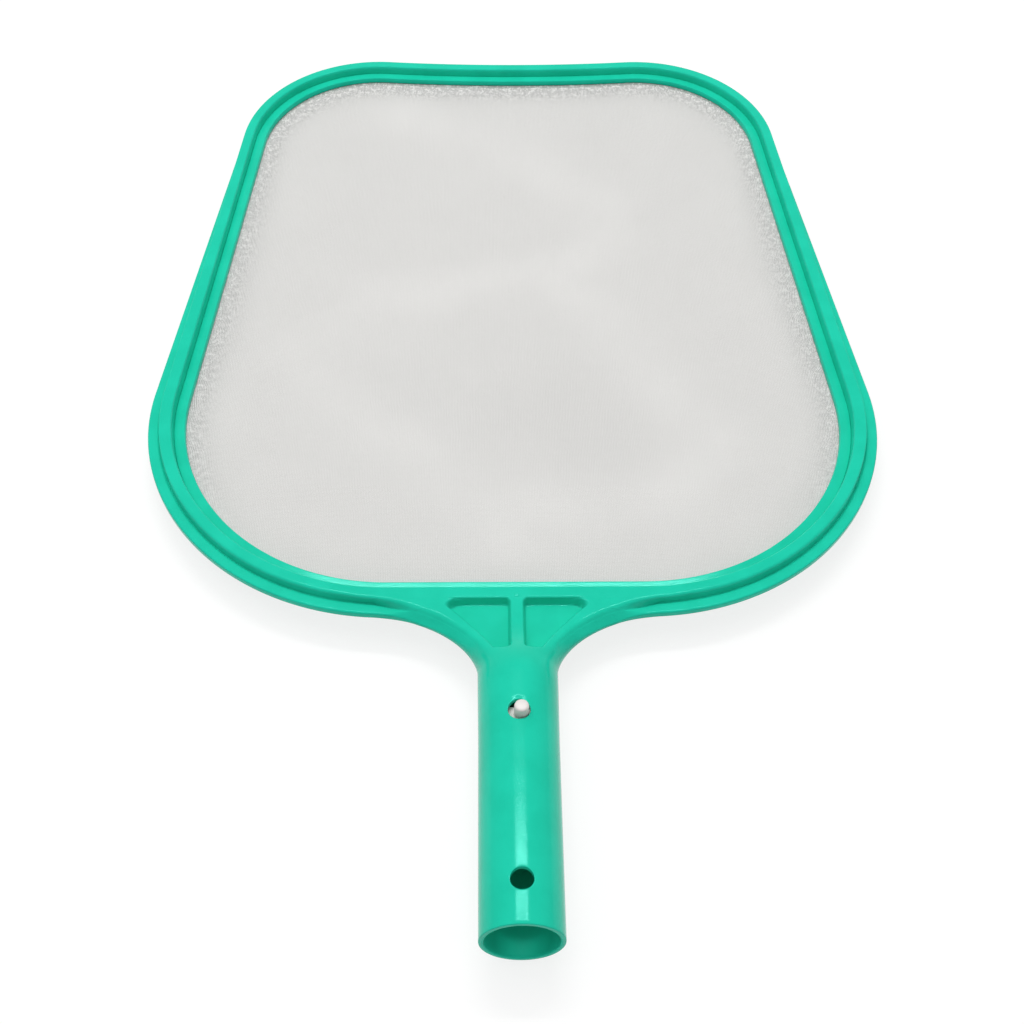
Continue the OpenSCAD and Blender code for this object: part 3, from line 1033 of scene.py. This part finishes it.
@dataclass
class Neck(Moulding):
    """The webbed neck, which turns from the socket's round to the rim's flat."""

    shoulder: Shoulder = Shoulder()
    start_y: float = 96.0
    blend: float = 30.0
    upper_levels: Triple = (-0.2, 0.7, 4.1)
    lower_levels: Triple = (1.5, 2.4, 4.4)
    knee_round: Pair = (1.3, 0.6)
    near_bend: Pair = (49.37, 85.0)
    bend_reach: float = 13.0
    rib_reach: float = 10.7
    lean: float = 3.0
    web_half: float = 2.5
    pocket_y: float = 109.2
    pocket_width: Pair = (6.0, 27.6)
    pocket_hollow: float = 2.5
    pocket_corner: float = 2.1
    pocket_slope: float = 0.6
    pocket_draft: float = 0.6
    pocket_floor: float = 0.5
    web: float = 2.0
    top_round: float = 0.7
    floor_round: float = 0.6
    wall_stops: tuple[float, ...] = (-0.7, -0.45, -0.2, 0, 0.3, 0.6, 0.75, 0.95, 1.2, 1.5, 1.9, 2.4)
    edge_stops: tuple[float, ...] = (1.6, 1.2, 0.9, 0.65, 0.45, 0.28, 0.14, 0.05, 0)
    near_rows: tuple[float, ...] = (97.5, 99, 100.5, 102, 103, 104.2, 105.4, 106.5, 107.5)
    rib_stops: tuple[float, ...] = (0.2, 0.12, 0.05, 0)
    web_column: float = 0.9
    wall_gap: float = 0.2
    column_gap: float = 0.05
    floor_columns: int = 5
    wing_columns: int = 36
    plate_rows: int = 30
    edge_rows: int = 5
    far_rows: int = 6

    def build(self) -> None:
        """Builds and dresses the neck."""
        rows = [[(x, y) for x in self.row(y)] for y in self.rows()]
        grid = [place for row in rows for place in row]
        halves = []
        for name, height in (("neck_moulding", self.upper), ("neck_under", self.lower)):
            half = primitive(
                name, bpy.ops.mesh.primitive_grid_add,
                x_subdivisions=len(rows[0]) - 1, y_subdivisions=len(rows) - 1)
            place_corners(half, [self.turned(x, y, height(abs(x), y)) for x, y in grid])
            halves.append(half)
        piece, under = halves
        join(piece, under)
        with editing(piece, "EDGE"):
            bpy.ops.mesh.select_non_manifold()
            bpy.ops.mesh.bridge_edge_loops()
        close_up(piece)
        self.mould(piece, "neck_gusset", 48)

    def turned(self, x: float, y: float, z: float) -> Vector:
        """Turns the neck's wings with the rim.

        Args:
            x: Distance from the long axis, less than 0 on the left.
            y: Distance from the mouth.
            z: The height.

        Returns:
            The corner's place.
        """
        start, radius = self.near_bend
        over, reach = max(abs(x) - start, 0), radius + self.bend_reach
        y += reach - math.sqrt(reach**2 - over**2)
        past = self.shoulder.rib_y + radius + self.rib_reach - y
        end = start + past * math.tan(math.radians(self.lean))
        half = self.shoulder.radius + self.shoulder.spread
        pull = (half - end) * ease(over / (half - start))
        return Vector((math.copysign(abs(x) - pull, x), y, z))

    def skin(self, x: float, y: float, levels: Triple, knee_round: float) -> float:
        """Gives the height of the skin without the pockets.

        Args:
            x: Distance from the long axis.
            y: Distance from the mouth.
            levels: The heights of the edge, the flange and the plate.
            knee_round: How far from the shoulder's knee its rounding starts.

        Returns:
            The height.
        """
        plate = self.shoulder.height(x, self.shoulder.depth(x, y), levels, knee_round)
        share = min(x / self.shoulder.half_width(y), 1)
        tube = self.shoulder.radius * math.sqrt(1 - share**2)
        return mix(tube, plate, self.flatness(y))

    def flatness(self, y: float) -> float:
        """Gives the share of the flat plate in the section at y."""
        return ease((y - self.start_y) / self.blend)

    def pocket_side(self, y: float) -> float:
        """Gives where a pocket's outer side stands at y."""
        u = clamp((y - self.pocket_y) / (self.shoulder.rib_y - self.pocket_y))
        return self.web_half + mix(*self.pocket_width, u) - 4 * self.pocket_hollow * u * (1 - u)

    def slope(self, y: float) -> float:
        """Gives how fast the pocket's outer side runs out along y."""
        step = 0.1
        return (self.pocket_side(y) - self.pocket_side(y - step)) / step

    def slant(self, y: float) -> float:
        """Gives how much longer the pocket's outer side is across than square to it."""
        return math.hypot(1, self.slope(y))

    def inside_pocket(self, x: float, y: float) -> float:
        """Gives the distance in from a pocket's outline.

        Args:
            x: Distance from the long axis.
            y: Distance from the mouth.

        Returns:
            The distance, less than 0 outside the outline.
        """
        slant = self.slant(y)
        inner, outer = x - self.web_half, (self.pocket_side(y) - x) / slant * self.pocket_slope
        near, far = y - self.pocket_y, self.shoulder.rib_y - y
        lean = self.slope(y) / slant
        return min(
            self.in_corner(inner, near, 0), self.in_corner(inner, far, 0),
            self.in_corner(outer, near, lean), self.in_corner(outer, far, -lean))

    def in_corner(self, first: float, second: float, lean: float) -> float:
        """Gives the distance in from two sides that meet in a round corner.

        Args:
            first: The distance in from one side.
            second: The distance in from the other side.
            lean: How far the sides point the same way, the cosine of their turn.

        Returns:
            The distance, less than 0 outside the corner.
        """
        a, b = first - self.pocket_corner, second - self.pocket_corner
        if a < lean * b and b < lean * a:
            square = (a * a + b * b - 2 * lean * a * b) / (1 - lean**2)
            return self.pocket_corner - math.sqrt(square)
        return min(first, second)

    def sunk(self, skin: float, floor: float, depth: float) -> float:
        """Gives the skin's height where a pocket sinks it.

        Args:
            skin: The height without the pocket.
            floor: The height of the pocket's floor, below the skin.
            depth: The distance in from the pocket's outline.

        Returns:
            The height, with a rounded brim and a rounded foot.
        """
        brim, foot, draft = self.top_round, self.floor_round, self.pocket_draft
        if depth <= -brim:
            return skin
        if depth < 0:
            return skin - brim + math.sqrt(brim**2 - (depth + brim) ** 2)
        if depth < draft:
            return mix(skin - brim, floor + foot, depth / draft)
        rest = max(draft + foot - depth, 0)
        return floor + foot - math.sqrt(foot**2 - rest**2)

    def upper(self, x: float, y: float) -> float:
        """Gives the height of the upper skin."""
        skin = self.skin(x, y, self.upper_levels, self.knee_round[0])
        return self.sunk(skin, self.pocket_floor, self.inside_pocket(x, y))

    def lower(self, x: float, y: float) -> float:
        """Gives the height of the lower skin."""
        skin = self.skin(x, y, self.lower_levels, self.knee_round[1])
        return -self.sunk(skin, self.web - self.pocket_floor, self.inside_pocket(x, y))

    def row(self, y: float) -> list[float]:
        """Gives where the columns cross a row.

        Args:
            y: Where the row is.

        Returns:
            Their places, from one edge to the other.
        """
        side, slant, edge = self.pocket_side(y), self.slant(y), self.shoulder.half_width(y)
        inner = [self.web_half + stop for stop in self.wall_stops]
        outer = [side - stop * slant / self.pocket_slope for stop in reversed(self.wall_stops)]
        low, gap = inner[-4] + self.wall_gap, self.column_gap
        outer = [max(x, low + gap * i) for i, x in enumerate(outer)]
        inner = [min(x, low - gap * (len(inner) - i)) for i, x in enumerate(inner)]
        floor = between(inner[-1], outer[0], self.floor_columns)
        half = [0.0, self.web_column, *inner, *floor, *outer]
        half += between(half[-1], edge - self.edge_stops[0], self.wing_columns)
        half += [edge - stop for stop in self.edge_stops]
        return [-x for x in reversed(half[1:])] + half

    def rows(self) -> list[float]:
        """Gives where the rows are.

        Returns:
            Their places, from the socket to the rib's wall.
        """
        spread_y, flange_y, rib_y = (
            self.shoulder.spread_y, self.shoulder.flange_y, self.shoulder.rib_y)
        rows = [self.start_y, *self.near_rows, *[self.pocket_y + stop for stop in self.wall_stops]]
        span, count = flange_y - spread_y, self.plate_rows
        turn = math.asin((rows[-1] - spread_y) / span)
        turns = [mix(turn, math.pi / 2, i / count) for i in range(1, count + 1)]
        rows += [spread_y + span * math.sin(turn) for turn in turns]
        count, edge_round = self.edge_rows, self.shoulder.edge_round
        rows += [flange_y + edge_round * (i / count) ** 2 for i in range(1, count + 1)]
        stops = [stop for stop in reversed(self.wall_stops) if stop > 0]
        rows += between(flange_y + edge_round, rib_y - stops[0], self.far_rows)
        return rows + [rib_y - stop for stop in (*stops, *self.rib_stops)]


@dataclass
class PoleSocket(Moulding):
    """The round socket with its two pairs of cross holes."""

    radius: float = 14.5
    swell: float = 0.2
    wall: float = 1.8
    length: float = 96.0
    guide: float = 74.0
    floor: float = 2.4
    mouth_round: float = 0.35
    bore_round: Pair = (0.1, 0.3)
    cap_share: float = 0.6
    segments: int = 96
    rings: tuple[int, int] = (95, 93)
    hole_radius: float = 4.0
    hole_places: Pair = (16.0, 80.0)
    hole_block: float = 5.3
    hole_loops: tuple[Pair, ...] = (
        (4.7, 0.0), (4.3, 0.0), (4.12, 0.04), (4.02, 0.16), (4.0, 0.35))
    face_share: float = 0.4
    rim_share: float = 1.6

    def build(self) -> None:
        """Builds and dresses the socket."""
        piece = self.turned()
        for y in self.hole_places:
            for side in (1, -1):
                self.pierce(piece, y, side)
        close_up(piece)
        self.mould(piece, "pole_socket", 45)

    def radius_at(self, y: float) -> float:
        """Gives the outer radius at y."""
        return self.radius + self.swell * max(y - self.guide, 0) / (self.length - self.guide)

    def turned(self) -> Piece:
        """Makes the socket without its holes.

        Returns:
            A closed shell, which starts as a torus of as many segments.
        """
        bore, brim, inner_end = self.radius - self.wall, self.mouth_round, self.length - self.floor
        (outer, inner), (small, large), cap = self.rings, self.bore_round, self.cap_share
        profile = [
            (self.radius - brim + brim * math.sin(a), brim - brim * math.cos(a))
            for a in (math.radians(90 * i / 4) for i in range(4))]
        for i in range(outer + 1):
            y = brim + (self.length - brim) * i / outer
            profile.append((self.radius_at(y), y))
        profile += [(self.radius_at(self.length) * share, self.length) for share in (cap, 0.0)]
        profile += [(bore * share, inner_end) for share in (0.0, cap)]
        profile += [(bore, mix(inner_end, large, i / inner)) for i in range(inner + 1)]
        profile += [(bore + small, small), (bore + large, 0.0)]
        piece = primitive(
            "socket_moulding", bpy.ops.mesh.primitive_torus_add,
            major_segments=self.segments, minor_segments=len(profile))
        turns = [math.tau * i / self.segments for i in range(self.segments)]
        place_corners(piece, [
            Vector((r * math.cos(a), y, r * math.sin(a))) for a in turns for r, y in profile])
        close_up(piece)
        return piece

    def pierce(self, piece: Piece, y: float, side: int) -> None:
        """Cuts a cross hole through the wall and rounds its outer edge.

        Args:
            piece: The socket.
            y: Where the hole's axis is.
            side: 1 for the upper wall and -1 for the lower one.
        """
        middle, block = Vector((0, y)), self.hole_block
        bore, inner_loops = self.radius - self.wall, (self.hole_loops[0], (self.hole_radius, 0.0))
        for radius, loops in ((self.radius, self.hole_loops), (bore, inner_loops)):
            with editing(piece, "FACE") as shape:
                for face in shape.faces:
                    at = face.calc_center_median() / MM
                    face.select = (
                        abs(at.x) < block and abs(at.y - y) < block and at.z * side > 0
                        and self.on_face(at, radius))
                bpy.ops.mesh.delete(type="FACE")
            for reach, sink in loops:
                self.draw_loop(piece, middle, side, radius, reach, sink)
        with editing(piece, "EDGE") as shape:
            for edge in shape.edges:
                at = midpoint(edge)
                near = (at.xy - middle).length < block
                edge.select = edge.is_boundary and at.z * side > 0 and near
            bpy.ops.mesh.bridge_edge_loops()

    def on_face(self, at: Vector, radius: float) -> bool:
        """Tells whether a place is on the wall's face with a radius."""
        return abs(math.hypot(at.x, at.z) - radius) < self.face_share * self.wall

    def draw_loop(
        self, piece: Piece, middle: Vector, side: int, radius: float, reach: float, sink: float
    ) -> None:
        """Draws the open edge round a hole in to the next loop.

        Args:
            piece: The socket.
            middle: The hole's middle, in x and y.
            side: 1 for the upper wall and -1 for the lower one.
            radius: The radius of the wall's face.
            reach: The radius of the new loop.
            sink: How far the new loop lies below the wall's face.
        """
        with editing(piece, "EDGE") as shape:
            for edge in shape.edges:
                at = midpoint(edge)
                near = (at.xy - middle).length < self.rim_share * self.hole_block
                edge.select = (
                    edge.is_boundary and at.z * side > 0 and near and self.on_face(at, radius))
            bpy.ops.mesh.extrude_edges_move()
            for corner in shape.verts:
                if corner.select:
                    away = (Vector(corner.co.xy) / MM - middle).normalized() * reach
                    at = middle + away
                    height = math.sqrt(radius**2 - at.x**2) - sink
                    corner.co = Vector((at.x, at.y, side * height)) * MM
            bmesh.update_edit_mesh(piece.data)


@dataclass
class SnapClip(SubAssembly):
    """The sprung clip: a bow and two arms with buttons."""

    finish: WhitePlastic = WhitePlastic()
    edge_round: float = 0.2 * MM

    def build(self) -> None:
        """Builds and dresses the clip's pieces."""
        material = self.finish.material()
        for node, name, body in (
            ("clip_bow", "bow_strip", Body.FRAME),
            ("clip_upper_arm", "upper_strip", Body.UPPER_ARM),
            ("clip_lower_arm", "lower_strip", Body.LOWER_ARM),
        ):
            piece = copy_node(self.nodes[node], name)
            soften(piece, self.edge_round)
            smooth(piece)
            self.settle(piece, node, body, Slot.CLIP, material)


@dataclass
class Netting(SubAssembly):
    """The woven net, stretched in the opening with a shallow bowl."""

    finish: WovenMesh = WovenMesh()
    opening: Opening = Opening()
    hem: float = 4.0
    level: float = -2.6
    sag: float = 5.0
    ripple: float = 0.3
    ripples: int = 6
    corners: int = 192
    edge_zone: float = 10.0
    fade: Pair = (160.0, 70.0)
    near_edge: float = 0.2
    drift: float = 1.1
    least_drift: float = 0.25
    drift_size: float = 9.0
    fold_half: float = 14.0
    fold_stray: Pair = (34.0, 6.0)
    fold_lift: float = 0.35
    fold_level: Pair = (0.85, 0.6)
    fold_fade: float = 12.0
    folds: tuple[tuple[Pair, ...], ...] = (
        ((-48, 426), (-19, 411), (15, 392), (42, 368), (41, 340), (31, 327)),
        ((-91, 271), (-58, 302), (-23, 311), (13, 322), (39, 295), (62, 248), (82, 218),
         (68, 192), (38, 186), (6, 190), (-14, 182), (-42, 209), (-72, 242), (-91, 271)),
        ((-10, 182), (-2, 163)))
    hollow: Triple = (24, 232, 34)
    hollow_depth: float = 0.6
    seed: int = 3

    def build(self) -> None:
        """Builds and dresses the net."""
        noise.seed_set(self.seed)
        piece = self.sheet()
        self.shape(piece)
        smooth(piece, 60)
        self.settle(piece, "net", Body.FRAME, Slot.NET, self.finish.material())
        rim = [s.at(self.hem) * MM for s in self.opening.stations()]

    def sheet(self) -> Piece:
        """Makes the flat sheet, cut to the hem's outline.

        Returns:
            A grid of four-sided faces that fills the outline.
        """
        piece = primitive("woven_net", bpy.ops.mesh.primitive_circle_add, vertices=self.corners)
        outline = [s.at(self.hem, self.level) for s in self.opening.stations()]
        place_corners(piece, self.spaced(outline, self.corners))
        with editing(piece, "EDGE", "SELECT"):
            bpy.ops.mesh.fill_grid(span=self.corners // 4, offset=0)
            bpy.ops.mesh.select_all(action="SELECT")
            bpy.ops.mesh.subdivide(number_cuts=1)
            bpy.ops.mesh.normals_make_consistent(inside=False)
        return piece

    @staticmethod
    def spaced(line: list[Vector], count: int) -> list[Vector]:
        """Spaces points evenly along a closed line.

        Args:
            line: The line's corners.
            count: How many points there are to be.

        Returns:
            The points, from the line's first corner.
        """
        loop = line + line[:1]
        lengths = [0.0]
        for a, b in zip(loop, loop[1:]):
            lengths.append(lengths[-1] + (b - a).length)
        points, i = [], 0
        for k in range(count):
            at = lengths[-1] * k / count
            while lengths[i + 1] < at:
                i += 1
            share = (at - lengths[i]) / max(lengths[i + 1] - lengths[i], TINY)
            points.append(loop[i].lerp(loop[i + 1], share))
        return points

    def folded(self, at: Vector) -> float:
        """Gives how near a place is to an old fold.

        Args:
            at: The place.

        Returns:
            A share of 1 on a fold, and less than 0 in the hollow between the folds.
        """
        height = 0.0
        stray = noise.noise_vector(at.to_3d() / self.fold_stray[0])
        at = at + stray.xy * self.fold_stray[1]
        level, play = self.fold_level
        for fold in self.folds:
            for first, last in zip(fold, fold[1:]):
                start, side = Vector(first), Vector(last) - Vector(first)
                share = clamp((at - start).dot(side) / side.length_squared)
                height = max(height, bell((at - start - share * side).length, self.fold_half))
        height *= level + play * stray.z
        x, y, half = self.hollow
        return height - self.hollow_depth * bell((at - Vector((x, y))).length, half)

    def shape(self, piece: Piece) -> None:
        """Gives the sheet its bowl, its weave's coordinates and its edge zone.

        Args:
            piece: The flat sheet.
        """
        middle = self.opening.middle()
        rim = [s.at(0).xy - middle for s in self.opening.stations()]
        rim.sort(key=lambda p: math.atan2(p.y, p.x))
        turns = [math.atan2(p.y, p.x) for p in rim]
        zone, lift = [
            piece.data.attributes.new(name, "FLOAT", "POINT")
            for name in (self.finish.edge, self.finish.fold)]
        for corner in piece.data.vertices:
            at = Vector(corner.co.xy) / MM - middle
            turn = math.atan2(at.y, at.x)
            k = bisect(turns, turn) % len(rim)
            side = rim[k] - rim[k - 1]
            reach = rim[k - 1].cross(side) / Vector((math.cos(turn), math.sin(turn))).cross(side)
            share, inwards = min(at.length / reach, 1), reach - at.length
            wave = self.ripple * math.sin(math.pi * share) * math.sin(self.ripples * turn)
            fold = self.folded(Vector(corner.co.xy) / MM) * min(inwards / self.fold_fade, 1)
            far = ease((corner.co.y / MM - self.fade[0]) / self.fade[1])
            corner.co.z -= (self.sag * (1 - share**2) + wave - fold * self.fold_lift) * MM
            # The edge zone thins and waves the weave, and carries the painted shade along the lip,
            # weaker on the near side.
            edge = bell(max(inwards, 0), self.edge_zone) * mix(self.near_edge, 1, far)
            zone.data[corner.index].value = edge
            # The fold share also paints light on the folds and shade in the hollow in the net's
            # tone.
            lift.data[corner.index].value = fold
        uv = piece.data.uv_layers.new(name=self.finish.uv_map)
        for loop in piece.data.loops:
            at = piece.data.vertices[loop.vertex_index].co
            pull = self.drift * MM * (self.least_drift + zone.data[loop.vertex_index].value)
            shift = noise.noise_vector(at / (self.drift_size * MM)) * pull
            uv.data[loop.index].uv = (at.x + shift.x, at.y + shift.y)


# ---- Studio ----


@dataclass(frozen=True)
class Viewpoint:
    """Where the camera stands and how it is turned, in degrees."""

    place: Triple = (-11.2 * MM, -222.2 * MM, 509.4 * MM)
    pitch: float = 51.78
    yaw: float = 1.43
    roll: float = 0.93
    focal_px: float = 1648.0
    frame_px: float = 1024.0
    sensor: float = 36.0
    nearest: float = 10 * MM

    def matrix(self) -> Matrix:
        """Works out where the camera is.

        Returns:
            Its place and turn.
        """
        pitch, yaw, roll = (math.radians(a) for a in (self.pitch, self.yaw, self.roll))
        ahead = Vector((
            math.sin(yaw) * math.cos(pitch), math.cos(yaw) * math.cos(pitch), -math.sin(pitch)))
        right = Vector((math.cos(yaw), -math.sin(yaw), 0))
        up = right.cross(ahead)
        side = right * math.cos(roll) + up * math.sin(roll)
        top = up * math.cos(roll) - right * math.sin(roll)
        turn = Matrix((side, top, -ahead)).transposed().to_4x4()
        return Matrix.Translation(self.place) @ turn


@dataclass(frozen=True)
class Lamp:
    """A soft rectangular lamp that faces a point."""

    name: str
    place: Triple
    target: Triple
    size: Pair
    power: float
    mirrored: bool = True

    def hang(self) -> None:
        """Adds the lamp to the scene."""
        deselect()
        bpy.ops.object.light_add(type="AREA", location=self.place)
        lamp = bpy.context.object
        lamp.name = self.name
        lamp.data.shape = "RECTANGLE"
        lamp.data.size, lamp.data.size_y = self.size
        lamp.data.energy = self.power
        lamp.visible_glossy = self.mirrored
        aim = Vector(self.target) - Vector(self.place)
        lamp.rotation_euler = aim.to_track_quat("-Z", "Y").to_euler()


@dataclass
class Studio:
    """The floor, the lamps, the world and the camera."""

    viewpoint: Viewpoint = Viewpoint()
    floor_size: float = 6.0
    rest_point: Triple = (0.0, 79.6 * MM, -17.75 * MM)
    tilt: float = 1.985
    pale: Colour = (0.72, 0.72, 0.72)
    white: Colour = (1.0, 1.0, 1.0)
    whiteness: float = 0.72
    glow: float = 1.12
    daylight: float = 0.48
    lamps: tuple[Lamp, ...] = (
        Lamp("strip", (0.0, 0.588, 1.18), (0.0, 0.025, 0.0145), (0.65, 0.06), 5.4),
        Lamp("overhead", (-0.3, 0.5, 1.6), (0.0, 0.22, 0.0), (1.6, 1.6), 13.0, False),
    )

    def build(self) -> None:
        """Builds the studio."""
        self.lay_floor()
        for lamp in self.lamps:
            lamp.hang()
        self.light_world()
        self.set_camera()

    def lay_floor(self) -> None:
        """Lays the pale floor that the part rests on."""
        deselect()
        bpy.ops.mesh.primitive_plane_add(size=self.floor_size)
        floor = bpy.context.object
        floor.name = "floor"
        turn = Matrix.Rotation(math.radians(self.tilt), 4, "X")
        floor.data.transform(Matrix.Translation(self.rest_point) @ turn)
        shader = Shader(bpy.data.materials.new("pale_floor"))
        camera, glossy, through = [
            shader.node("ShaderNodeLightPath", output=f"Is {kind} Ray")
            for kind in ("Camera", "Glossy", "Transmission")]
        share = camera.highest(glossy).highest(through) * self.whiteness
        pale = shader.node("ShaderNodeBsdfDiffuse", None, {"Color": self.pale})
        glow = shader.node(
            "ShaderNodeEmission", None, {"Color": self.white, "Strength": self.glow})
        mixed = shader.node("ShaderNodeMixShader", None, {0: share, 1: pale, 2: glow})
        dress(floor, shader.end(mixed))

    def light_world(self) -> None:
        """Makes the world an even soft light that looks white to the camera."""
        world = Shader(bpy.data.worlds.new("studio"))
        seen = world.node("ShaderNodeLightPath", output="Is Camera Ray")
        level = world.node("ShaderNodeMapRange", None, {0: seen, 3: self.daylight, 4: 1.0})
        light = world.node(
            "ShaderNodeBackground", None, {"Color": self.white, "Strength": level})
        bpy.context.scene.world = world.end(light, "ShaderNodeOutputWorld")

    def set_camera(self) -> None:
        """Adds the camera and makes it the scene's."""
        view = self.viewpoint
        data = bpy.data.cameras.new("camera")
        data.sensor_width = view.sensor
        data.lens = view.focal_px / view.frame_px * view.sensor
        data.clip_start = view.nearest
        camera = bpy.data.objects.new("camera", data)
        bpy.context.scene.collection.objects.link(camera)
        camera.matrix_world = view.matrix()
        bpy.context.scene.camera = camera


def clear_scene() -> None:
    """Removes what Blender starts with."""
    bpy.ops.object.select_all(action="SELECT")
    bpy.ops.object.delete()


def main() -> None:
    """Builds the part's looks and its studio."""
    logging.basicConfig(level=logging.INFO, format="%(name)s: %(message)s")
    clear_scene()
    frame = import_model()
    bpy.context.scene.view_settings.view_transform = "Standard"
    for assembly in (Rim, NetRing, Neck, PoleSocket, Netting, SnapClip):
        assembly(frame["nodes"]).build()
    Studio().build()


if __name__ == "__main__":
    main()
